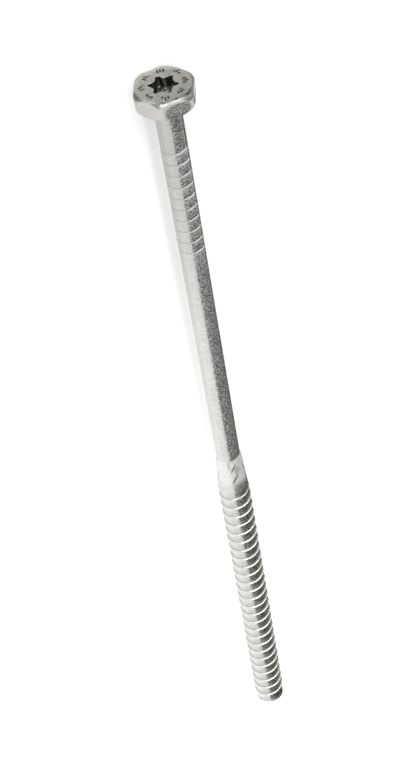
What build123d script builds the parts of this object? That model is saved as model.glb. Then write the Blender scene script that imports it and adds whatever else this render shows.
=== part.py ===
"""Hex head screw for timber and plastic plugs, with a six-lobe recess in its head.

The screw is one cold-formed and thread-rolled piece. It lies along X: the head is at
-X, the blunt tip at +X, and two flats of the head face up and down Z. The origin is
the centre of the bearing face under the head. Lengths are in millimetres.
"""

from build123d import *

import math
import os

# Head: a hexagon with rounded corners, chamfered above and below
across_flats = 13.0
head_height = 5.2
corner_radius = 1.6
top_face_diameter = 12.3
top_chamfer_angle = 30.0
bearing_face_diameter = 11.8
bottom_chamfer_angle = 35.0

# Six-lobe recess, size 40, with a shallow cone at its bottom
lobe_count = 6
recess_outer_diameter = 6.75
recess_inner_diameter = 4.85
recess_lobe_radius = 0.55
recess_depth = 2.9
recess_cone_diameter = 4.4
recess_cone_depth = 0.8
recess_mouth_chamfer = 0.15

# Plain shank, with shallow rolled rings below the head
shank_diameter = 6.2
shank_length = 112.0
under_head_chamfer = 0.6
ring_count = 10
first_ring_distance = 11.8
ring_spacing = 3.3
ring_width = 0.4
ring_depth = 0.07

# Swell where the thinner shank meets the rolled thread
swell_diameter = 7.6
swell_length = 5.0

# Right-hand sawtooth thread: a steep flank towards the head, a long one towards the tip
under_head_length = 226.0
thread_diameter = 8.4
thread_root_diameter = 7.4
thread_pitch = 3.65
head_flank_width = 0.5
tip_flank_width = 2.0
run_in_length = 11.0
groove_run_in_length = 8.0

# Blunt tip
tip_diameter = 5.4
tip_taper_length = 3.6
tip_edge_chamfer = 0.7

# How far joined forms reach into each other, and cutters past what they cut
ridge_overlap = 0.06
swell_overlap = 0.25
cutter_margin = 0.05

shank_radius = shank_diameter / 2
swell_radius = swell_diameter / 2
root_radius = thread_root_diameter / 2
crest_radius = thread_diameter / 2
thread_start = shank_length + swell_length
thread_turns = math.ceil((under_head_length - thread_start) / thread_pitch) + 1
rolled_length = thread_turns * thread_pitch
swell_end = thread_start + groove_run_in_length
taper_start = under_head_length - tip_taper_length
beyond_thread = thread_start + rolled_length + 2 * thread_pitch


def recess_outline():
    """Draw the arcs of the lobes, and the waist arcs tangent to them."""
    half_step = 180 / lobe_count
    cosine = math.cos(math.radians(half_step))
    sine = math.sin(math.radians(half_step))
    lobe_centre = recess_outer_diameter / 2 - recess_lobe_radius
    waist = recess_inner_diameter / 2
    gap = recess_lobe_radius**2 - lobe_centre**2 - waist**2
    gap += 2 * lobe_centre * waist * cosine
    waist_arc = gap / (2 * (waist - lobe_centre * cosine - recess_lobe_radius))
    waist_centre = waist + waist_arc
    rise = math.atan2(waist_centre * sine, waist_centre * cosine - lobe_centre)
    lobe_half = math.degrees(rise)
    waist_half = lobe_half - half_step
    for lobe in range(lobe_count):
        angle = 2 * half_step * lobe + half_step
        centre = Vector(lobe_centre, 0).rotate(Axis.Z, angle)
        CenterArc(centre, recess_lobe_radius, angle - lobe_half, 2 * lobe_half)
        angle += half_step
        centre = Vector(waist_centre, 0).rotate(Axis.Z, angle)
        CenterArc(centre, waist_arc, angle + 180 - waist_half, 2 * waist_half)


with BuildPart() as head:
    with BuildSketch(Plane.YZ) as hexagon:
        RegularPolygon(across_flats / 2, 6, major_radius=False)
        fillet(hexagon.vertices(), corner_radius)
    extrude(amount=-head_height)

    # Both chamfers, as one turned outline that the hexagon is kept inside
    top_slope = math.tan(math.radians(top_chamfer_angle))
    bottom_slope = math.tan(math.radians(bottom_chamfer_angle))
    top_radius = top_face_diameter / 2
    bearing_radius = bearing_face_diameter / 2
    meeting_radius = head_height + top_slope * top_radius + bottom_slope * bearing_radius
    meeting_radius /= top_slope + bottom_slope
    with BuildSketch(Plane.XZ):
        with BuildLine():
            Polyline(
                (-head_height, 0),
                (-head_height, top_radius),
                (bottom_slope * (bearing_radius - meeting_radius), meeting_radius),
                (0, bearing_radius),
                (0, 0),
                close=True,
            )
        make_face()
    revolve(axis=Axis.X, mode=Mode.INTERSECT)

with BuildPart() as screw:
    # Thread core, with the helical ridge round it, in whole turns past the tip
    with BuildSketch(Plane.XZ):
        with Locations((thread_start, 0)):
            Rectangle(rolled_length, root_radius, align=(Align.MIN, Align.MIN))
    revolve(axis=Axis.X)
    with BuildLine() as thread_path:
        Helix(
            thread_pitch,
            rolled_length,
            root_radius,
            center=(thread_start, 0, 0),
            direction=(1, 0, 0),
        )
    foot_radius = root_radius - ridge_overlap
    reach = (crest_radius - foot_radius) / (crest_radius - root_radius)
    with BuildSketch(Plane.XZ):
        with BuildLine():
            Polyline(
                (thread_start, crest_radius),
                (thread_start + reach * tip_flank_width, foot_radius),
                (thread_start - reach * head_flank_width, foot_radius),
                close=True,
            )
        make_face()
    sweep(path=thread_path.line, is_frenet=True)

    # Run-in: the ridge rises out of the swell
    with BuildSketch(Plane.XZ):
        with BuildLine():
            Polyline(
                (thread_start - thread_pitch, foot_radius - cutter_margin),
                (thread_start, swell_radius - cutter_margin),
                (thread_start + run_in_length, crest_radius + cutter_margin),
                (thread_start + run_in_length, across_flats),
                (thread_start - thread_pitch, across_flats),
                close=True,
            )
        make_face()
    revolve(axis=Axis.X, mode=Mode.SUBTRACT)

    # Tip: the ridge and the core taper to a blunt end with a chamfered edge
    with BuildSketch(Plane.XZ) as tip_cutter:
        with BuildLine():
            Polyline(
                (taper_start, crest_radius + cutter_margin),
                (under_head_length, tip_diameter / 2),
                (under_head_length, 0),
                (beyond_thread, 0),
                (beyond_thread, across_flats),
                (taper_start, across_flats),
                close=True,
            )
        make_face()
        tip_edge = (under_head_length, tip_diameter / 2)
        corner = tip_cutter.vertices().sort_by_distance(tip_edge)[0]
        chamfer(corner, tip_edge_chamfer)
    revolve(axis=Axis.X, mode=Mode.SUBTRACT)

    # Shank with its rings, and swell; the swell runs out inside the first turns
    profile = [
        (-head_height / 2, 0),
        (-head_height / 2, shank_radius),
        (-under_head_chamfer / 2, shank_radius),
        (0, shank_radius + under_head_chamfer),
        (under_head_chamfer, shank_radius),
    ]
    for ring in range(ring_count):
        place = first_ring_distance + ring * ring_spacing
        profile.append((place - ring_width / 2, shank_radius))
        profile.append((place, shank_radius - ring_depth))
        profile.append((place + ring_width / 2, shank_radius))
    profile += [
        (shank_length, shank_radius),
        (thread_start, swell_radius),
        (swell_end, root_radius - swell_overlap),
        (swell_end, 0),
    ]
    with BuildSketch(Plane.XZ):
        with BuildLine():
            Polyline(*profile, close=True)
        make_face()
    revolve(axis=Axis.X)

    add(head.part)

    # Recess in the top of the head
    with BuildSketch(Plane.YZ.offset(-head_height)):
        with BuildLine():
            recess_outline()
        make_face()
    extrude(amount=recess_depth, mode=Mode.SUBTRACT)
    mouth = screw.faces().sort_by(Axis.X)[0].inner_wires()[0]
    chamfer(mouth.edges(), recess_mouth_chamfer)
    recess_floor = recess_depth - head_height
    with BuildSketch(Plane.XZ):
        Polygon(
            (recess_floor - cutter_margin, 0),
            (recess_floor - cutter_margin, recess_cone_diameter / 2),
            (recess_floor, recess_cone_diameter / 2),
            (recess_floor + recess_cone_depth, 0),
            align=None,
        )
    revolve(axis=Axis.X, mode=Mode.SUBTRACT)

screw.part.label = "screw"
os.makedirs("parts", exist_ok=True)
export_step(screw.part, "parts/screw.step")
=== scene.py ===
"""Dresses the hex head timber screw: zinc plated, lying on a pale table in soft light.

The screw lies along X, with its head at -X and its blunt tip at +X, as in its CAD
frame, and the origin is the centre of the bearing face under the head. Sizes in the
classes are in millimetres and become metres when a mesh is made.
"""

import logging
import math
from collections.abc import Callable, Sequence
from dataclasses import dataclass
from enum import Enum

import bmesh
import bpy
from mathutils import Matrix, Vector

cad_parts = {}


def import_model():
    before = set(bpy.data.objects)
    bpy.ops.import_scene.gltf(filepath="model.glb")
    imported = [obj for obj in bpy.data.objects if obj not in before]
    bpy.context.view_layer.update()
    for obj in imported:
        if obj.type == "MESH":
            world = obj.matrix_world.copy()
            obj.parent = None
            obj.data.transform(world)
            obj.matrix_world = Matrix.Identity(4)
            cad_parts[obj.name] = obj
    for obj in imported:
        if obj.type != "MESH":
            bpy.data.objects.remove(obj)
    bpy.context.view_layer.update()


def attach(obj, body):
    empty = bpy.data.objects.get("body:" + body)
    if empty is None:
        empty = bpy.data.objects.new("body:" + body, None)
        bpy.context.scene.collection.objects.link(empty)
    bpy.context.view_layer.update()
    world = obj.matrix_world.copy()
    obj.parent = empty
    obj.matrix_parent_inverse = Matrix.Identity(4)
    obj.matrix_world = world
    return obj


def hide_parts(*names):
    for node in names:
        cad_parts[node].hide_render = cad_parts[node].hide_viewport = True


MM = 0.001
log = logging.getLogger("hex_head_screw")

Station = tuple[float, float]
Span = tuple[float, float]
Colour = tuple[float, float, float, float]


class Side(Enum):
    """Which side of a guide surface a piece keeps to."""

    INSIDE = "INSIDE"
    OUTSIDE = "OUTSIDE"


class Handwork:
    """One mesh worked in edit mode as by hand, its parts picked by their place."""

    NEAR = 0.001

    def __init__(self, name: str, add: Callable[..., set[str]], **settings: object) -> None:
        """Add a primitive at its size and place, and open it in edit mode.

        Args:
            name: the name of the new piece and its mesh.
            add: the operator that adds the primitive.
            settings: the operator's own settings, lengths in metres.
        """
        if bpy.context.object and bpy.context.object.mode != "OBJECT":
            bpy.ops.object.mode_set(mode="OBJECT")
        bpy.ops.object.select_all(action="DESELECT")
        add(**settings)
        self.piece: bpy.types.Object = bpy.context.object
        self.piece.name = name
        self.piece.data.name = name
        bpy.ops.object.transform_apply(location=True, rotation=True, scale=True)
        self.open()

    def open(self) -> None:
        """Open the mesh in edit mode, picking by vertices."""
        bpy.ops.object.mode_set(mode="EDIT")
        bpy.ops.mesh.select_mode(type="VERT")

    def close(self) -> None:
        """Go back to object mode."""
        bpy.ops.object.mode_set(mode="OBJECT")

    def pick(self, test: Callable[[Vector], bool]) -> int:
        """Select the vertices at the places that a test accepts, and nothing else.

        Args:
            test: takes a vertex's place in millimetres and says whether it is wanted.

        Returns:
            How many vertices are selected.
        """
        bpy.ops.mesh.select_all(action="DESELECT")
        mesh = bmesh.from_edit_mesh(self.piece.data)
        count = 0
        for vertex in mesh.verts:
            if test(vertex.co / MM):
                vertex.select_set(True)
                count += 1
        mesh.select_flush_mode()
        bmesh.update_edit_mesh(self.piece.data)
        return count

    def pick_beyond(self, radius: float) -> None:
        """Select what lies further from the axis than a radius."""
        self.pick(lambda place: math.hypot(place.y, place.z) > radius)

    def pick_rim(self, at: float) -> None:
        """Select the rim at a place on X."""
        self.pick(lambda place: abs(place.x - at) < self.NEAR)

    def take_up(self) -> None:
        """Take the piece up again after work on another one."""
        bpy.ops.object.select_all(action="DESELECT")
        bpy.context.view_layer.objects.active = self.piece
        self.piece.select_set(True)
        self.open()

    def draw_on(self, points: Sequence[Vector]) -> None:
        """Extrude the selected vertex through points, one after another.

        Args:
            points: the places in millimetres; the first is where the vertex is now.
        """
        for here, there in zip(points, points[1:]):
            bpy.ops.mesh.extrude_vertices_move(
                TRANSFORM_OT_translate={"value": (there - here) * MM}
            )

    def turn_on(self, start: Station, stations: Sequence[Station]) -> None:
        """Extrude the selected rim through stations along the axis, as on a lathe.

        Args:
            start: where the rim is now, as its place on X and its radius.
            stations: the places and radii of the rims that follow.
        """
        place, radius = start
        for next_place, next_radius in stations:
            bpy.ops.mesh.extrude_edges_move(
                TRANSFORM_OT_translate={"value": ((next_place - place) * MM, 0, 0)}
            )
            if next_radius != radius:
                ratio = next_radius / radius
                bpy.ops.transform.resize(
                    value=(1, ratio, ratio),
                    center_override=(next_place * MM, 0, 0),
                )
            place, radius = next_place, next_radius

    def close_end(self, place: float) -> None:
        """Close the selected rim with a fan of faces to the axis.

        Args:
            place: the fan's middle on X, in millimetres.
        """
        bpy.ops.mesh.extrude_edges_move(TRANSFORM_OT_translate={"value": (0, 0, 0)})
        bpy.ops.mesh.merge(type="CENTER")
        mesh = bmesh.from_edit_mesh(self.piece.data)
        middle = next(vertex for vertex in mesh.verts if vertex.select)
        shift = Vector((place * MM, 0, 0)) - middle.co
        bpy.ops.transform.translate(value=shift)

    def apply(self, kind: str, **settings: object) -> None:
        """Add a modifier to the piece and apply it.

        Args:
            kind: the modifier's type.
            settings: the modifier's own settings.
        """
        self.close()
        modifier = self.piece.modifiers.new(kind.title(), kind)
        for name, value in settings.items():
            setattr(modifier, name, value)
        bpy.ops.object.modifier_apply(modifier=modifier.name)
        self.open()

    def keep_to(self, side: Side, guide: bpy.types.Object) -> None:
        """Move what crosses a guide surface back onto it.

        Args:
            side: the side of the guide that the piece keeps to.
            guide: the guide's closed surface.
        """
        self.apply(
            "SHRINKWRAP",
            target=guide,
            wrap_method="NEAREST_SURFACEPOINT",
            wrap_mode=side.value,
        )

    def face_outwards(self) -> None:
        """Merge doubles and turn all faces outwards."""
        bpy.ops.mesh.select_all(action="SELECT")
        bpy.ops.mesh.remove_doubles(threshold=0.0005 * MM)
        bpy.ops.mesh.normals_make_consistent(inside=False)

    def done(self, angle: float) -> bpy.types.Object:
        """Leave edit mode with smooth shading up to an angle.

        Args:
            angle: the sharpest angle in degrees that is still shaded smooth.

        Returns:
            The finished piece.
        """
        self.close()
        bpy.ops.object.shade_smooth_by_angle(angle=math.radians(angle))
        return self.piece


def turned_guide(name: str, segments: int, stations: Sequence[Station]) -> bpy.types.Object:
    """Turn a closed guide body for other pieces to keep to.

    Args:
        name: the guide's name.
        segments: how many faces go round it.
        stations: the places on X and radii of its rims, in millimetres.

    Returns:
        The guide, which is deleted once it has served.
    """
    first = stations[0]
    work = Handwork(
        name,
        bpy.ops.mesh.primitive_circle_add,
        vertices=segments,
        radius=first[1] * MM,
        location=(first[0] * MM, 0, 0),
        rotation=(0, math.pi / 2, 0),
    )
    work.close_end(first[0])
    work.pick_beyond(first[1] / 2)
    work.turn_on(first, stations[1:])
    work.close_end(stations[-1][0])
    work.face_outwards()
    work.close()
    return work.piece


def put_away(guide: bpy.types.Object) -> None:
    """Delete a guide and its mesh."""
    bpy.data.meshes.remove(guide.data)


@dataclass
class ThreadedShank:
    """The shank with its rolled rings, the swell below it, the thread and the tip."""

    shank_radius: float = 3.1
    under_head_radius: float = 3.7
    overlap: float = 0.3
    shank_end: float = 115.0
    shank_end_slant: float = 8.0
    shank_end_turn: float = -60.0
    slanted_edge: float = 0.4
    straightening: float = 6.0
    shank_loops: tuple[float, ...] = (95.0, 80.0, 65.0, 50.0)
    swell_radius: float = 3.42
    thread_start: float = 117.2
    crest_place: float = 118.5
    crest_radius: float = 4.2
    root_radius: float = 3.87
    pitch: float = 3.65
    tip_flank: tuple[Station, ...] = (
        (0.0, 0.0), (0.1, 0.05), (0.4, 0.22), (0.8, 0.43),
        (1.2, 0.6), (1.6, 0.74), (2.1, 0.87), (2.6, 0.96),
    )
    run_in_end: float = 132.0
    groove_run_in_end: float = 131.0
    taper_start: float = 222.4
    tip_radius: float = 2.7
    tip_round: float = 0.35
    length: float = 226.0
    ring_count: int = 10
    first_ring: float = 11.8
    ring_spacing: float = 3.3
    ring_width: float = 0.4
    ring_depth: float = 0.07
    steps: int = 96
    head_flank: float = 0.16
    smooth_angle: float = 32.0

    @property
    def tip_start(self) -> float:
        """Give the place on X where the tip's rounding starts."""
        return self.length - self.tip_round

    def section(self) -> list[Station]:
        """Give one pitch of the thread's section, down the tip flank and up the head flank.

        Returns:
            Places along X from the crest, and radii, in millimetres.
        """
        crest, root, pitch = self.crest_radius, self.root_radius, self.pitch
        depth = crest - root
        steep = pitch - self.head_flank
        return [(place, crest - share * depth) for place, share in self.tip_flank] + [
            (steep - 0.25, root),
            (steep, root + 0.05 * depth),
            (steep + 0.25 * self.head_flank, root + 0.24 * depth),
            (pitch - 0.06, root + 0.82 * depth),
            (pitch, crest),
        ]

    def build(self) -> bpy.types.Object:
        """Make the whole threaded shank as one closed mesh.

        Returns:
            The finished piece, unpainted.
        """
        work = self.thread()
        self.shape_runs(work)
        self.shank(work)
        self.tip(work)
        work.face_outwards()
        return work.done(self.smooth_angle)

    def thread(self) -> Handwork:
        """Wind the thread's section into a tube that is longer than the thread.

        Returns:
            The mesh at work.
        """
        turns_before = math.ceil((self.crest_place - self.thread_start) / self.pitch) + 2
        first = self.crest_place - turns_before * self.pitch
        turns = math.ceil((self.length - first) / self.pitch) + 1
        points = [Vector((first + x, 0, radius)) for x, radius in self.section()]
        work = Handwork(
            "screw_shank",
            bpy.ops.mesh.primitive_plane_add,
            size=0.1 * MM,
            location=points[0] * MM,
        )
        bpy.ops.mesh.merge(type="CENTER")
        work.draw_on(points)
        work.apply(
            "SCREW",
            axis="X",
            angle=2 * math.pi,
            screw_offset=self.pitch * MM,
            iterations=turns,
            steps=self.steps,
            render_steps=self.steps,
            use_smooth_shade=True,
        )
        work.face_outwards()
        return work

    def shape_runs(self, work: Handwork) -> None:
        """Run the thread in from the swell and out to the tip's taper.

        Args:
            work: the mesh of the wound thread.
        """
        envelope = turned_guide(
            "envelope",
            2 * self.steps,
            [
                (self.thread_start - 3 * self.pitch, self.swell_radius),
                (self.thread_start, self.swell_radius),
                (self.run_in_end, self.crest_radius + 0.02),
                (self.taper_start, self.crest_radius + 0.02),
                (self.taper_start + 1.2, self.crest_radius - 0.32),
                (self.length - 1.2, self.root_radius + 0.12),
                (self.tip_start, self.tip_radius),
                (self.length + 0.4, self.tip_radius - 0.75),
                (self.length + 3 * self.pitch, self.tip_radius - 0.8),
            ],
        )
        core = turned_guide(
            "core",
            2 * self.steps,
            [
                (self.thread_start - 3 * self.pitch, self.swell_radius - 0.001),
                (self.thread_start, self.swell_radius - 0.001),
                (self.groove_run_in_end, self.root_radius - 0.1),
                (self.groove_run_in_end + 1, self.root_radius - 0.4),
            ],
        )
        work.take_up()
        work.keep_to(Side.OUTSIDE, core)
        work.keep_to(Side.INSIDE, envelope)
        put_away(core)
        put_away(envelope)
        for place, clears in (
            (self.thread_start, {"clear_inner": True}),
            (self.tip_start, {"clear_outer": True}),
        ):
            bpy.ops.mesh.select_all(action="SELECT")
            bpy.ops.mesh.bisect(
                plane_co=(place * MM, 0, 0), plane_no=(1, 0, 0), threshold=0.0001 * MM, **clears
            )

    def ring_stations(self) -> list[Station]:
        """Give the shank's stations from its far end up to the head.

        Returns:
            Places on X and radii, from the last ring to the first.
        """
        stations = []
        half, radius = self.ring_width / 2, self.shank_radius
        for number in reversed(range(self.ring_count)):
            place = self.first_ring + number * self.ring_spacing
            stations += [
                (place + half + 0.1, radius),
                (place + half, radius - 0.01),
                (place + 0.05, radius - self.ring_depth),
                (place - 0.05, radius - self.ring_depth),
                (place - half, radius - 0.01),
                (place - half - 0.1, radius),
            ]
        return stations

    def shank(self, work: Handwork) -> None:
        """Draw the swell, the plain shank and its rings out of the thread's first rim.

        Args:
            work: the mesh of the thread with its runs.
        """
        start = self.thread_start
        work.pick_rim(start)
        work.turn_on(
            (start, self.swell_radius),
            [(start - 0.25, self.swell_radius - 0.01), (self.shank_end, self.shank_radius)],
        )
        self.slant(work)
        for reach in (self.slanted_edge, self.straightening):
            bpy.ops.mesh.extrude_edges_move(TRANSFORM_OT_translate={"value": (-reach * MM, 0, 0)})
        straight = self.shank_end - self.slanted_edge - self.straightening
        bpy.ops.transform.resize(value=(0, 1, 1), center_override=(straight * MM, 0, 0))
        fillet = self.under_head_radius - self.shank_radius
        work.turn_on(
            (straight, self.shank_radius),
            [(place, self.shank_radius) for place in self.shank_loops]
            + self.ring_stations()
            + [
                (along * fillet, self.shank_radius + out * fillet)
                for along, out in ((1.0, 0.0), (0.6, 0.1), (0.3, 0.3), (0.1, 0.6))
            ]
            + [(0.0, self.under_head_radius), (-self.overlap, self.under_head_radius)],
        )
        work.close_end(-self.overlap)

    def slant(self, work: Handwork) -> None:
        """Slant the rim at the shank's end along X without changing its round outline.

        Args:
            work: the mesh, with that rim selected.
        """
        mesh = bmesh.from_edit_mesh(work.piece.data)
        lean = math.tan(math.radians(self.shank_end_slant))
        turn = math.radians(self.shank_end_turn)
        towards = Vector((0, math.sin(turn), math.cos(turn)))
        for vertex in mesh.verts:
            if vertex.select:
                vertex.co.x += lean * vertex.co.dot(towards)
        bmesh.update_edit_mesh(work.piece.data)

    def tip(self, work: Handwork) -> None:
        """Round the blunt tip off and close it.

        Args:
            work: the mesh with its shank.
        """
        start, radius = self.tip_start, self.tip_radius
        work.pick_rim(start)
        work.turn_on(
            (start, radius),
            [
                (start + 0.14, radius - 0.1),
                (start + 0.25, radius - 0.26),
                (start + 0.32, radius - 0.5),
                (start + self.tip_round, radius - 0.8),
                (start + self.tip_round, radius - 1.6),
            ],
        )
        work.close_end(self.length)


@dataclass
class HexHead:
    """The hexagon head with its rounded corners and its six-lobe recess."""

    across_flats: float = 13.0
    height: float = 5.2
    corner_radius: float = 2.2
    top_radius: float = 6.15
    bearing_radius: float = 5.9
    top_chamfer: float = 30.0
    bottom_chamfer: float = 35.0
    blank_radius: float = 7.4
    lobe_count: int = 6
    recess_radius: float = 3.375
    waist_radius: float = 2.425
    lobe_radius: float = 0.55
    recess_depth: float = 2.9
    top_loops: tuple[float, ...] = (5.2, 4.6, 4.0)
    mouth_edge: tuple[Station, ...] = (
        (0.0, 0.2), (0.02, 0.11), (0.07, 0.04), (0.16, 0.0), (0.6, -0.01), (1.4, -0.02),
    )
    cone_radius: float = 2.2
    cone_depth: float = 0.8
    segments: int = 360
    loop_step: float = 0.13
    corner_steps: int = 12
    softening: int = 40
    smooth_angle: float = 50.0

    @property
    def floor(self) -> float:
        """Give the place on X of the recess's floor, where its cone starts."""
        return self.recess_depth - self.height

    def build(self) -> bpy.types.Object:
        """Make the head as one closed mesh.

        Returns:
            The finished piece, unpainted.
        """
        work = self.blank()
        self.press_hexagon(work)
        self.press_recess(work)
        work.face_outwards()
        return work.done(self.smooth_angle)

    def blank(self) -> Handwork:
        """Turn the round blank, from the bearing face round to the recess's floor.

        Returns:
            The mesh at work.
        """
        top, hub = -self.height, 1.0
        work = Handwork(
            "screw_head",
            bpy.ops.mesh.primitive_circle_add,
            vertices=self.segments,
            radius=hub * MM,
            location=(0, 0, 0),
            rotation=(0, math.pi / 2, 0),
        )
        work.close_end(0.0)
        work.pick_beyond(hub / 2)
        bottom_slope = math.tan(math.radians(self.bottom_chamfer))
        top_slope = math.tan(math.radians(self.top_chamfer))
        bottom_edge = -bottom_slope * (self.blank_radius - self.bearing_radius)
        top_edge = top + top_slope * (self.blank_radius - self.top_radius)
        stations = [(0.0, 3.6), (0.0, self.bearing_radius - 0.4)]
        stations += self.run((0.0, self.bearing_radius), (bottom_edge, self.blank_radius))
        stations += self.run((bottom_edge, self.blank_radius), (top_edge, self.blank_radius))
        stations += self.run((top_edge, self.blank_radius), (top, self.top_radius))
        stations += self.run((top, self.top_radius), (top, self.top_radius - 0.5))
        mouth, floor, cone = self.recess_radius, self.floor, self.cone_radius
        stations += [(top, radius) for radius in self.top_loops]
        stations += [(top + depth, mouth + out) for depth, out in self.mouth_edge]
        stations += [
            (floor - 0.15, mouth - 0.04),
            (floor - 0.04, mouth - 0.08),
            (floor, mouth - 0.18),
            (floor, cone - 0.05),
            (floor + 0.05, cone - 0.2),
            (floor + self.cone_depth - 0.1, 0.3),
        ]
        work.turn_on((0.0, hub), stations)
        work.close_end(floor + self.cone_depth)
        return work

    def run(self, start: Station, end: Station) -> list[Station]:
        """Give even stations from one place to another, in steps of the loop's size.

        Args:
            start: where the run starts; the start itself is the first station.
            end: where it ends, which is left to the next run.

        Returns:
            The stations.
        """
        count = max(2, round(math.dist(start, end) / self.loop_step))
        shares = [number / count for number in range(count)]
        return [
            (start[0] + share * (end[0] - start[0]), start[1] + share * (end[1] - start[1]))
            for share in shares
        ]

    def press_hexagon(self, work: Handwork) -> None:
        """Press the blank's side into a hexagon and soften the edges that this leaves.

        Args:
            work: the mesh of the round blank.
        """
        across_corners = self.across_flats / math.cos(math.pi / 6)
        die = Handwork(
            "hexagon_die",
            bpy.ops.mesh.primitive_cylinder_add,
            vertices=6,
            radius=across_corners / 2 * MM,
            depth=4 * self.height * MM,
            location=(0, 0, 0),
            rotation=(0, math.pi / 2, 0),
        )
        bpy.ops.mesh.select_all(action="DESELECT")
        bpy.ops.mesh.select_mode(type="EDGE")
        mesh = bmesh.from_edit_mesh(die.piece.data)
        for edge in mesh.edges:
            along = edge.verts[0].co - edge.verts[1].co
            edge.select_set(abs(along.x) > 0.9 * along.length)
        bmesh.update_edit_mesh(die.piece.data)
        setback = self.corner_radius * math.tan(math.radians(30))
        bpy.ops.mesh.bevel(
            offset=setback * MM, segments=self.corner_steps, profile=0.5, affect="EDGES"
        )
        bpy.ops.mesh.select_all(action="SELECT")
        bpy.ops.mesh.normals_make_consistent(inside=False)
        die.close()
        work.take_up()
        work.keep_to(Side.INSIDE, die.piece)
        put_away(die.piece)
        work.pick_beyond(self.top_radius - 0.45)
        bpy.ops.mesh.vertices_smooth(factor=0.5, repeat=self.softening)

    def recess_share(self, turn: float) -> float:
        """Give the recess outline's radius as a share of its largest.

        Args:
            turn: the angle from the middle of a lobe, in radians.

        Returns:
            The outline's radius there over the radius at a lobe's middle.
        """
        half_step = math.pi / self.lobe_count
        reach = self.recess_radius - self.lobe_radius
        share = self.waist_radius - self.lobe_radius
        waist = (reach**2 - share**2) / (2 * (reach * math.cos(half_step) - share))
        bend = waist - self.waist_radius
        touch_y = self.lobe_radius * waist * math.sin(half_step) / (bend + self.lobe_radius)
        gap = waist * math.cos(half_step) - reach
        touch_x = reach + self.lobe_radius * gap / (bend + self.lobe_radius)
        if turn <= math.atan2(touch_y, touch_x):
            across = reach * math.sin(turn)
            radius = reach * math.cos(turn) + math.sqrt(self.lobe_radius**2 - across**2)
        else:
            rest = half_step - turn
            across = waist * math.sin(rest)
            radius = waist * math.cos(rest) - math.sqrt(bend**2 - across**2)
        return radius / self.recess_radius

    def press_recess(self, work: Handwork) -> None:
        """Press the round recess into six lobes, one angle at a time.

        Args:
            work: the mesh of the head with its round recess.
        """
        step = 2 * math.pi / self.lobe_count
        wall = self.recess_radius - 0.3
        top, floor = -self.height, self.floor

        def angle_of(place: Vector) -> float:
            """Give a place's angle from the nearest lobe's middle."""
            turn = (math.atan2(place.z, place.y) + step / 2) % step
            return min(turn, step - turn)

        def in_recess(place: Vector) -> bool:
            """Tell the recess's wall and mouth from the rest of the head.

            Args:
                place: a place in millimetres.

            Returns:
                Whether it is on them.
            """
            radius = math.hypot(place.y, place.z)
            within = top - 0.01 < place.x < floor + 0.01
            return within and wall < radius < self.recess_radius + 0.25

        for index in range(self.segments // (2 * self.lobe_count) + 1):
            turn = round(index * 2 * math.pi / self.segments, 6)
            found = work.pick(
                lambda place: in_recess(place) and abs(angle_of(place) - turn) < work.NEAR
            )
            share = self.recess_share(turn)
            if found and share < 0.9999:
                bpy.ops.transform.resize(value=(1, share, share), center_override=(0, 0, 0))


class Value:
    """A shader value that can be used in plain arithmetic."""

    def __init__(self, shader: "Shader", socket: bpy.types.NodeSocket) -> None:
        """Wrap the output socket of one of the shader's nodes."""
        self.shader = shader
        self.socket = socket

    def _math(self, operation: str, first: "Value | float", second: "Value | float") -> "Value":
        """Add a Math node.

        Args:
            operation: the node's operation.
            first: its first value.
            second: its second value.

        Returns:
            The result.
        """
        return self.shader.node(
            "ShaderNodeMath", {"operation": operation}, {0: first, 1: second}
        )

    def __add__(self, other: "Value | float") -> "Value":
        """Add."""
        return self._math("ADD", self, other)

    __radd__ = __add__

    def __sub__(self, other: "Value | float") -> "Value":
        """Take another value away."""
        return self._math("SUBTRACT", self, other)

    def __rsub__(self, other: "Value | float") -> "Value":
        """Take this value away from another."""
        return self._math("SUBTRACT", other, self)

    def __mul__(self, other: "Value | float") -> "Value":
        """Multiply."""
        return self._math("MULTIPLY", self, other)

    __rmul__ = __mul__

    def __truediv__(self, other: "Value | float") -> "Value":
        """Divide by another value."""
        return self._math("DIVIDE", self, other)

    def __mod__(self, other: "Value | float") -> "Value":
        """Give the remainder, never negative for a positive divisor."""
        return self._math("FLOORED_MODULO", self, other)

    def __abs__(self) -> "Value":
        """Give the size without its sign."""
        return self._math("ABSOLUTE", self, 0.0)

    def root(self) -> "Value":
        """Give the square root."""
        return self._math("SQRT", self, 0.0)

    def angle(self, across: "Value") -> "Value":
        """Give the angle, in radians, of the point whose height this is."""
        return self._math("ARCTAN2", self, across)

    def larger(self, other: "Value | float") -> "Value":
        """Give the larger of two values."""
        return self._math("MAXIMUM", self, other)

    def step(self, low: float, high: float) -> "Value":
        """Rise smoothly from 0 at one value to 1 at another.

        Args:
            low: the value that gives 0.
            high: the value that gives 1.

        Returns:
            The smooth step.
        """
        return self.shader.node(
            "ShaderNodeMapRange",
            {"interpolation_type": "SMOOTHSTEP"},
            {"Value": self, "From Min": low, "From Max": high},
        )

    def fall(self, low: float, high: float) -> "Value":
        """Fall smoothly from 1 at one value to 0 at another."""
        return 1 - self.step(low, high)

    def between(self, start: Span, end: Span) -> "Value":
        """Give 1 between two soft edges and 0 beyond them.

        Args:
            start: the values where the lower edge starts and ends.
            end: the values where the upper edge starts and ends.

        Returns:
            The soft band.
        """
        return self.step(*start) * self.fall(*end)


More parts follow.
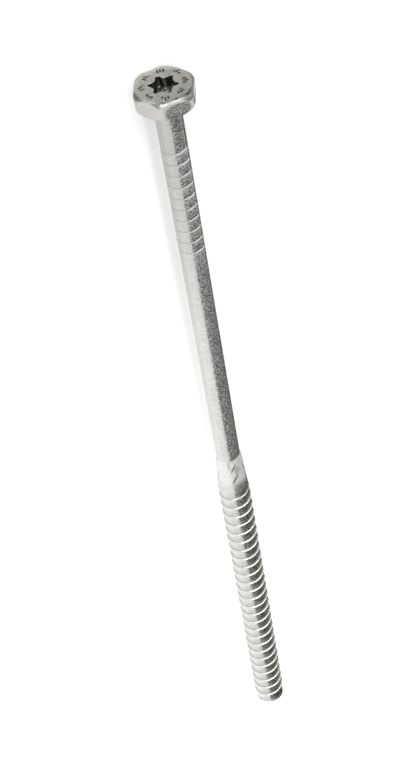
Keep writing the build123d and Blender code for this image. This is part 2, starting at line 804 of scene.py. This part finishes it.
class Shader:
    """A node material and the one method that adds its nodes."""

    def __init__(self, name: str) -> None:
        """Start a material with a Principled shader.

        Args:
            name: the material's name.
        """
        self.material = bpy.data.materials.new(name)
        self.material.use_nodes = True
        self.tree = self.material.node_tree
        self.surface = next(n for n in self.tree.nodes if n.type == "BSDF_PRINCIPLED")

    @classmethod
    def of_tree(cls, tree: bpy.types.NodeTree) -> "Shader":
        """Work on a tree that is there already, such as the world's.

        Args:
            tree: the node tree.

        Returns:
            A shader that adds its nodes to that tree.
        """
        shader = cls.__new__(cls)
        shader.tree = tree
        return shader

    def node(
        self,
        kind: str,
        settings: dict[str, object] | None = None,
        inputs: dict[int | str, object] | None = None,
        output: int | str = 0,
    ) -> Value:
        """Add a node.

        Args:
            kind: the node's type.
            settings: its own settings, which are set first.
            inputs: the values or links of its sockets, by name or number.
            output: the socket that is wanted.

        Returns:
            The wanted output.
        """
        node = self.tree.nodes.new(kind)
        for name, value in (settings or {}).items():
            setattr(node, name, value)
        for name, value in (inputs or {}).items():
            self.feed(node.inputs[name], value)
        return Value(self, node.outputs[output])

    def feed(self, socket: bpy.types.NodeSocket, value: object) -> None:
        """Link or set one socket.

        Args:
            socket: the socket.
            value: the value that it is linked to, or the plain number or colour.
        """
        if isinstance(value, Value):
            self.tree.links.new(value.socket, socket)
        else:
            socket.default_value = value

    def mix(self, share: Value, low: Value | Sequence[float], high: Sequence[float]) -> Value:
        """Mix two colours.

        Args:
            share: 0 gives the first colour and 1 the second.
            low: the first colour.
            high: the second colour.

        Returns:
            The mixed colour.
        """
        return self.node(
            "ShaderNodeMix",
            {"data_type": "RGBA"},
            {0: share, 6: low, 7: high},
            output=2,
        )

    def places(self) -> tuple[Value, ...]:
        """Give the places on the piece.

        Returns:
            The places along X, Y and Z, in millimetres.
        """
        place = self.node("ShaderNodeTexCoord", output="Object")
        return tuple(
            self.node("ShaderNodeSeparateXYZ", {}, {0: place}, output=axis) / MM for axis in "XYZ"
        )

    def noise(
        self,
        scale: float,
        detail: float,
        roughness: float,
        stretch: Sequence[float] = (1, 1, 1),
    ) -> Value:
        """Give a noise on the piece's own coordinates.

        Args:
            scale: how many features go in a metre.
            detail: how many finer layers it has.
            roughness: how strong the finer layers are.
            stretch: the coordinates' factors along X, Y and Z.

        Returns:
            The noise, from 0 to 1.
        """
        place = self.node("ShaderNodeTexCoord", output="Object")
        scaled = self.node(
            "ShaderNodeMapping", {"vector_type": "POINT"}, {"Vector": place, "Scale": stretch}
        )
        return self.node(
            "ShaderNodeTexNoise",
            {"noise_dimensions": "3D"},
            {"Vector": scaled, "Scale": scale, "Detail": detail, "Roughness": roughness},
            output="Fac",
        )

    def set(self, **values: object) -> None:
        """Set or link the Principled shader's sockets, with _ for a space in their names."""
        for name, value in values.items():
            self.feed(self.surface.inputs[name.replace("_", " ")], value)


@dataclass
class Surface:
    """A surface being finished: the places on it in millimetres, and what is made so far."""

    shader: Shader
    along: Value
    across: Value
    up: Value
    radius: Value
    mottle: Value
    colour: Value
    rough: Value
    height: Value
    metallic: Value | float = 1.0

    def stain(self, share: Value, colour: Colour) -> None:
        """Cover a share of the surface with a colour."""
        self.colour = self.shader.mix(share, self.colour, colour)


@dataclass(frozen=True)
class ZincPlate:
    """Bright zinc plating with a fine crystalline grain."""

    light: Colour = (0.62, 0.615, 0.59, 1.0)
    dark: Colour = (0.55, 0.545, 0.52, 1.0)
    pale_wear_and_highlight: Colour = (0.74, 0.74, 0.72, 1.0)
    grime_and_shade: Colour = (0.2, 0.195, 0.15, 1.0)
    soot_and_shade: Colour = (0.05, 0.05, 0.045, 1.0)
    roughness: float = 0.24
    grain_scale: float = 2800.0
    mottle_scale: float = 700.0
    sparkle: float = 1.3
    relief: float = 0.06

    def make(self, name: str) -> bpy.types.Material:
        """Make the plating's material.

        Args:
            name: the material's name.

        Returns:
            The material.
        """
        shader = Shader(name)
        along, across, up = shader.places()
        grain = shader.noise(self.grain_scale, 2.0, 0.6)
        mottle = shader.noise(self.mottle_scale, 3.0, 0.6)
        shade = (0.7 * mottle + 0.3 * grain).step(0.38, 0.64)
        radius = (across * across + up * up).root()
        surface = Surface(
            shader, along, across, up, radius, mottle,
            colour=shader.mix(shade, self.dark, self.light),
            rough=self.roughness + 0.15 * (grain - 0.5) + 0.1 * (mottle - 0.5),
            height=0.4 * grain + 0.2 * mottle + self.sparkle * grain.step(0.5, 0.64),
        )
        self.dress(surface)
        bump = shader.node(
            "ShaderNodeBump",
            {},
            {"Strength": 0.5, "Distance": self.relief * MM, "Height": surface.height},
        )
        shader.set(
            Base_Color=surface.colour,
            Metallic=surface.metallic,
            Roughness=surface.rough,
            Normal=bump,
        )
        return shader.material

    def dress(self, surface: Surface) -> None:
        """Leave the plating plain; the plates of the head and the shank add their wear, painted
        highlights and painted shade.
        """


@dataclass(frozen=True)
class HeadPlate(ZincPlate):
    """The head's plating: rubbed rims with a painted highlight, chamfers with painted shade,
    stamped strokes and a recess darkened by soot and painted shade.
    """

    flat: Colour = (0.52, 0.505, 0.48, 1.0)
    dull: Colour = (0.62, 0.6, 0.53, 1.0)
    top: Span = (-5.15, -5.1)
    beyond_top: Span = (6.1, 6.3)
    right: Span = (0.5, 3.0)
    upper_corner: Span = (5.6, 6.2)
    chamfer_slope: float = 1.5
    chamfer_place: float = 14.75
    chamfer_widening: float = 0.6
    chamfer_shade: float = 0.8
    least_rim_highlight: float = 0.2
    rim_matt: float = 0.35
    oval_half_width: float = 3.45
    oval_half_height: float = 1.9
    oval_middle: float = -2.4
    stroke_groups: int = 8
    strokes_of_group: tuple[tuple[float, float, float], ...] = (
        (-0.7, 4.25, 5.35),
        (-0.05, 4.5, 5.6),
        (0.6, 4.2, 5.2),
    )
    stroke_soot: float = 0.9
    stroke_matt: float = 0.2
    stroke_depth: float = 2.0

    def dress(self, surface: Surface) -> None:
        """Lay the head's wear, painted highlights and painted shade over the plain plating.

        Args:
            surface: the plain surface, which is changed.
        """
        along, across, up, radius = surface.along, surface.across, surface.up, surface.radius
        turn = up.angle(across)
        rim = self.rim(surface, turn)
        marks = self.strokes(surface, turn)
        blotches = surface.shader.noise(520.0, 1.0, 0.4).step(0.42, 0.58)
        outside = radius.step(*self.beyond_top)
        right = across.step(*self.right)
        widening = self.chamfer_widening * right * up.step(0.0, 2.0)
        below_chamfer = along - self.chamfer_slope * radius - widening + self.chamfer_place
        side = outside * below_chamfer.step(0.0, 0.3)
        chamfer = outside * (1 - side) * up.fall(*self.upper_corner).larger(right)
        rim_highlight = self.least_rim_highlight + (1 - self.least_rim_highlight) * across.step(-2.2, 0.2)
        surface.stain(along.fall(*self.top) * blotches, self.dull)
        surface.stain(side, self.flat)
        # Painted highlight: the rims round the flats are lighter, partly as rubbed edges, most on
        # the right.
        surface.stain(side * rim * rim_highlight, self.pale_wear_and_highlight)
        # Painted shade: the chamfers are darkened, all but the upper ones on the left.
        surface.stain(self.chamfer_shade * chamfer, self.grime_and_shade)
        # The stamped strokes are dark; the recess is darkened by soot and painted shade.
        surface.stain((self.stroke_soot * marks).larger(self.pocket(surface)), self.soot_and_shade)
        surface.rough = surface.rough + self.stroke_matt * marks + self.rim_matt * rim
        surface.height = surface.height * (1 - rim) - self.stroke_depth * marks

    def rim(self, surface: Surface, turn: Value) -> Value:
        """Give the lighter rim round the oval of each of the six flats: rubbed wear and a painted
        highlight.

        Args:
            surface: the head's surface.
            turn: the angle round the axis, in radians.

        Returns:
            1 on the rims and 0 elsewhere.
        """
        side = math.pi / 3
        from_middle = (turn + math.pi / 2) % side - side / 2
        across_flat = (abs(from_middle) - side / 2) * surface.radius / self.oval_half_width
        down_flat = (surface.along - self.oval_middle) / self.oval_half_height
        oval = across_flat * across_flat + down_flat * down_flat
        return oval.between((0.75, 1.05), (1.9, 2.5)) * surface.radius.step(6.1, 6.35)

    def strokes(self, surface: Surface, turn: Value) -> Value:
        """Give groups of short, uneven stamped strokes round the head's top.

        Args:
            surface: the head's surface.
            turn: the angle round the axis, in radians.

        Returns:
            1 in a stroke and 0 outside.
        """
        radius = surface.radius + 1.6 * (surface.shader.noise(1100.0, 2.0, 0.6) - 0.5)
        uneven = turn + 0.28 * (surface.mottle - 0.5)
        group = 2 * math.pi / self.stroke_groups
        arc = ((uneven + 0.04) % group - group / 2) * radius
        marks: Value | None = None
        for offset, low, high in self.strokes_of_group:
            band = radius.between((low - 0.1, low + 0.1), (high - 0.1, high + 0.1))
            stroke = abs(arc - offset).fall(0.15, 0.32) * band
            marks = stroke if marks is None else marks.larger(stroke)
        return marks * surface.along.fall(-5.1, -5.0)

    def pocket(self, surface: Surface) -> Value:
        """Give the recess's darkening, soot and painted shade, in streaks down its wall.

        Args:
            surface: the head's surface.

        Returns:
            1 where the recess is darkest and 0 outside it.
        """
        streaks = surface.shader.noise(1500.0, 2.0, 0.6, (0.12, 1, 1)).step(0.35, 0.6)
        inside = surface.along.step(-5.12, -4.8) * surface.radius.fall(3.45, 3.5)
        return inside * (0.3 + 0.66 * streaks)


@dataclass(frozen=True)
class ShankPlate(ZincPlate):
    """The shank's plating: painted shade and painted ring glints by side, matt rolled length and
    grime.
    """

    painted_shade: Colour = (0.36, 0.36, 0.35, 1.0)
    left: Span = (-1.6, -0.4)
    painted_shade_share: float = 0.62
    painted_shade_run: Span = (2.0, 80.0)
    first_ring: float = 11.8
    ring_spacing: float = 3.3
    ring_run: tuple[Span, Span] = ((10.5, 11.0), (42.5, 43.0))
    ring_painted_shade: float = 0.4
    ring_glint: float = 0.75
    glint_across: tuple[Span, Span] = ((-0.8, 0.6), (2.0, 2.8))
    groove_radius: Span = (3.88, 4.1)
    groove_run: Span = (124.0, 130.0)
    rolled_start: Span = (114.8, 115.3)
    rolled_end: Span = (122.5, 126.0)
    rolled_wear: float = 0.9
    rolled_matt: float = 0.34
    scuff_grime: float = 0.4
    fold_radius: float = 3.6
    fold_spacing: float = 4.0
    fold_place: float = 115.2
    fold_darkness: float = 0.75
    fold_depth: float = 2.0

    def dress(self, surface: Surface) -> None:
        """Lay the shank's wear, painted shade and painted highlights over the plain plating.

        Args:
            surface: the plain surface, which is changed.
        """
        along, across = surface.along, surface.across
        rolled = self.as_rolled(surface)
        folds = self.folds(surface) * rolled
        left = across.fall(*self.left)
        rings = self.rings(along)
        # Painted highlight: a pale, non-metal band in the rings' right half stands in for their
        # glints.
        glint = self.ring_glint * rings * across.between(*self.glint_across)
        groove = surface.radius.fall(*self.groove_radius) * along.step(*self.groove_run)
        scuffs = surface.shader.noise(650.0, 3.0, 0.6, (0.35, 1, 1)).step(0.5, 0.64)
        # Painted shade: the left side is darkened from the head down to 80 mm.
        surface.stain(self.painted_shade_share * along.fall(*self.painted_shade_run) * left, self.painted_shade)
        # Painted shade in the rings on the left side.
        surface.stain(self.ring_painted_shade * rings * left, self.grime_and_shade)
        surface.stain(glint, self.pale_wear_and_highlight)
        surface.stain(self.rolled_wear * rolled, self.pale_wear_and_highlight)
        surface.stain(self.scuff_grime * rolled * scuffs, self.grime_and_shade)
        # The folds are painted dark.
        surface.stain(self.fold_darkness * folds, self.soot_and_shade)
        # The thread's roots are darkened: a little grime all round, and painted shade added on
        # the right.
        surface.stain(groove * (0.2 + 0.45 * across.step(-1.0, 1.2)), self.grime_and_shade)
        surface.metallic = 1 - glint
        surface.rough = surface.rough + self.rolled_matt * rolled
        relief = 0.3 + 0.7 * across.step(-1.8, -0.2)
        surface.height = surface.height * relief - self.fold_depth * folds

    def rings(self, along: Value) -> Value:
        """Give the shallow rings rolled into the shank below the head.

        Args:
            along: the place along the axis, in millimetres.

        Returns:
            1 in a ring and 0 between them.
        """
        half = self.ring_spacing / 2
        from_ring = abs((along - (self.first_ring - half)) % self.ring_spacing - half)
        return from_ring.fall(0.05, 0.28) * along.between(*self.ring_run)

    def folds(self, surface: Surface) -> Value:
        """Give the short steep folds above the first turns of the thread.

        Args:
            surface: the shank's surface.

        Returns:
            1 in a fold and 0 outside.
        """
        arc = self.fold_radius * surface.across.angle(surface.up)
        slanted = (surface.along + 1.5 * arc - self.fold_place) % self.fold_spacing
        across_fold = abs(slanted - self.fold_spacing / 2)
        return across_fold.fall(0.2, 0.6) * arc.between((-1.6, -1.0), (-0.1, 0.6))

    def as_rolled(self, surface: Surface) -> Value:
        """Give the paler, matt length between the shank's slanted end and the thread.

        Args:
            surface: the shank's surface.

        Returns:
            1 on that length and 0 elsewhere.
        """
        slanted = surface.along - 0.07 * surface.up + 0.12 * surface.across
        return slanted.step(*self.rolled_start) * surface.along.fall(*self.rolled_end)


@dataclass(frozen=True)
class PaleTable:
    """A white table top whose glow rises towards the tip as a painted pool of light, with dark
    cards painted on it that only gloss sees, and a faint shade.

    The shade beside the shank is painted, and only the camera sees it.
    """

    colour: Colour = (0.9, 0.9, 0.9, 1.0)
    cloud: float = 0.97
    glow: float = 0.3
    glow_along: Span = (20.0, 190.0)
    lift: float = 0.13
    roughness: float = 0.6
    card: Colour = (0.035, 0.035, 0.025, 1.0)
    card_near: Span = (8.5, 10.5)
    card_far: Span = (60.0, 80.0)
    card_along: Span = (6.0, 12.0)
    card_slant: float = 1.1
    behind: float = 0.5
    behind_along: Span = (-8.0, -5.0)
    behind_left: float = 0.85
    left_across: Span = (-9.5, -7.5)
    left_along: Span = (-19.0, -16.0)
    shade: float = 0.12
    shade_across: tuple[Span, Span] = ((-4.4, -3.0), (-2.2, -0.6))
    shade_along: tuple[Span, Span] = ((-2.0, 4.0), (118.0, 132.0))

    def make(self, name: str) -> bpy.types.Material:
        """Make the table top's material.

        Args:
            name: the material's name.

        Returns:
            The material.
        """
        shader = Shader(name)
        low = tuple(self.cloud * part for part in self.colour[:3]) + (1.0,)
        white = shader.mix(shader.noise(6.0, 2.0, 0.5), low, self.colour)
        along, across, _ = shader.places()
        seen = shader.node("ShaderNodeLightPath", output="Is Camera Ray")
        glossy = shader.node("ShaderNodeLightPath", output="Is Glossy Ray")
        shade = across.between(*self.shade_across) * along.between(*self.shade_along)
        card = (glossy * self.cards(along, across)).larger(self.shade * seen * shade)
        # Painted light: the table's glow rises towards the tip like a pool of light.
        light = along.step(*self.glow_along) * self.glow + self.lift * seen
        shader.set(
            Base_Color=shader.mix(card, white, self.card),
            Emission_Color=shader.mix(light * (1 - card), (0, 0, 0, 1), (1, 1, 1, 1)),
            Emission_Strength=1.0,
            Roughness=self.roughness,
        )
        return shader.material

    def cards(self, along: Value, across: Value) -> Value:
        """Give the dark cards painted on the table, which darken the screw's reflections: a long
        one to the right of the screw, and one behind the head.

        Args:
            along: the place along the screw, in millimetres.
            across: the place across it.

        Returns:
            1 where a card is darkest and 0 on the bare table.
        """
        slanted = (along - self.card_slant * across).step(0.0, 20.0)
        open_end = slanted.larger(across.fall(*self.card_far))
        right = across.step(*self.card_near) * open_end * along.step(*self.card_along)
        back = along.fall(*self.behind_along)
        left = across.fall(*self.left_across) * along.step(*self.left_along)
        return right.larger(self.behind * back).larger(self.behind_left * back * left)


@dataclass(frozen=True)
class DomeCap:
    """A round part of the dome that has its own brightness."""

    way: tuple[float, float, float]
    fade: Span
    brightness: float
    side: tuple[float, float, float] | None = None
    side_fade: Span = (87.0, 93.0)


@dataclass(frozen=True)
class SoftDome:
    """A white dome of soft light, with a brighter window and dark cards on it."""

    bright: float = 1.28
    caps: tuple[DomeCap, ...] = (
        DomeCap((-0.95, 0.0, 0.32), (20.0, 36.0), 3.4),
        DomeCap((1.0, 0.0, 0.0), (54.0, 63.0), 0.15, side=(0.0, 0.94, 0.342)),
        DomeCap((1.0, 0.12, 0.0), (20.0, 34.0), 0.0, side=(0.0, 0.94, 0.342)),
    )

    def hang(self) -> None:
        """Make the dome the scene's world."""
        world = bpy.data.worlds.new("soft_dome")
        world.use_nodes = True
        shader = Shader.of_tree(world.node_tree)
        strength: Value | float = self.bright
        for cap in self.caps:
            inside = self.near(shader, cap.way, cap.fade)
            if cap.side:
                inside = inside * self.near(shader, cap.side, cap.side_fade)
            strength = strength * (1 - inside) + cap.brightness * inside
        background = world.node_tree.nodes["Background"]
        background.inputs["Color"].default_value = (1, 1, 1, 1)
        shader.feed(background.inputs["Strength"], strength)
        bpy.context.scene.world = world

    def near(self, shader: Shader, way: Sequence[float], fade: Span) -> Value:
        """Tell the directions near one direction from the others, with a soft edge.

        Args:
            shader: the world's shader.
            way: the direction in the middle.
            fade: the angles from it, in degrees, where the edge starts and ends.

        Returns:
            1 near the direction and 0 away from it.
        """
        place = shader.node("ShaderNodeTexCoord", output="Generated")
        nearness = shader.node(
            "ShaderNodeVectorMath",
            {"operation": "DOT_PRODUCT"},
            {0: place, 1: Vector(way).normalized()},
            output="Value",
        )
        inner, outer = (math.cos(math.radians(angle)) for angle in fade)
        return nearness.step(outer, inner)


@dataclass
class Studio:
    """The table, the soft light and the camera."""

    camera_place: tuple[float, float, float] = (-253.1, -111.8, 307.1)
    camera_right: tuple[float, float, float] = (0.12427, 0.88405, 0.45057)
    camera_up: tuple[float, float, float] = (-0.67901, 0.40688, -0.61106)
    lens: float = 88.04
    sensor: float = 36.0
    head_card: tuple[float, float, float, float, float] = (-25.0, -5.0, 16.0, -4.0, 26.0)
    card_colour: Colour = (0.05, 0.05, 0.05, 1.0)
    table_size: float = 6.0
    head_touch: tuple[float, float] = (-0.4, -6.5)
    tip_touch: tuple[float, float] = (220.0, -4.2)

    def build(self) -> None:
        """Set everything up round the screw."""
        self.lay_table()
        self.hang_lights()
        self.set_camera()

    def lay_table(self) -> None:
        """Lay the table top so that it touches the head's lower flat and the last crests."""
        fall = self.tip_touch[1] - self.head_touch[1]
        lean = math.atan2(fall, self.tip_touch[0] - self.head_touch[0])
        work = Handwork(
            "table_top",
            bpy.ops.mesh.primitive_plane_add,
            size=self.table_size,
            location=(self.head_touch[0] * MM, 0, (self.head_touch[1] - 0.02) * MM),
            rotation=(0, -lean, 0),
        )
        work.close()
        work.piece.data.materials.append(PaleTable().make("pale_table"))

    def hang_lights(self) -> None:
        """Hang the soft dome, and stand a small dark card behind the head."""
        SoftDome().hang()
        back, low, high, left, right = self.head_card
        work = Handwork(
            "head_card",
            bpy.ops.mesh.primitive_plane_add,
            size=1.0 * MM,
            location=(back * MM, (left + right) / 2 * MM, (low + high) / 2 * MM),
            rotation=(0, math.pi / 2, 0),
        )
        bpy.ops.transform.resize(value=(1, right - left, high - low))
        work.close()
        card = Shader("dark_card")
        card.set(Base_Color=self.card_colour, Roughness=0.9)
        work.piece.data.materials.append(card.material)
        work.piece.visible_camera = False
        work.piece.visible_diffuse = False
        work.piece.visible_shadow = False

    def set_camera(self) -> None:
        """Put the camera at its place, and set the plain view of colours."""
        lens = bpy.data.cameras.new("camera")
        lens.lens = self.lens
        lens.sensor_width = lens.sensor_height = self.sensor
        lens.clip_start, lens.clip_end = 0.01, 20.0
        camera = bpy.data.objects.new("camera", lens)
        bpy.context.scene.collection.objects.link(camera)
        right = Vector(self.camera_right).normalized()
        back = right.cross(Vector(self.camera_up)).normalized()
        up = back.cross(right)
        turn = Matrix((right, up, back)).transposed().to_4x4()
        camera.matrix_world = Matrix.Translation(Vector(self.camera_place) * MM) @ turn
        bpy.context.scene.camera = camera
        bpy.context.scene.view_settings.view_transform = "Standard"


def mount(piece: bpy.types.Object, material: bpy.types.Material) -> None:
    """Dress a finished piece and let it stand for the screw's node.

    Args:
        piece: the finished piece.
        material: its material.
    """
    piece.data.materials.clear()
    piece.data.materials.append(material)
    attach(piece, "root")
    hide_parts("screw")
    triangles = sum(len(polygon.vertices) - 2 for polygon in piece.data.polygons)
    log.info("%s: %d triangles", piece.name, triangles)


def main() -> None:
    """Load the frame, build and dress the screw, and set the studio up round it."""
    logging.basicConfig(level=logging.INFO, format="%(name)s %(message)s")
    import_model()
    mount(ThreadedShank().build(), ShankPlate().make("zinc_plate"))
    mount(HexHead().build(), HeadPlate().make("zinc_plate_head"))
    Studio().build()


if __name__ == "__main__":
    main()
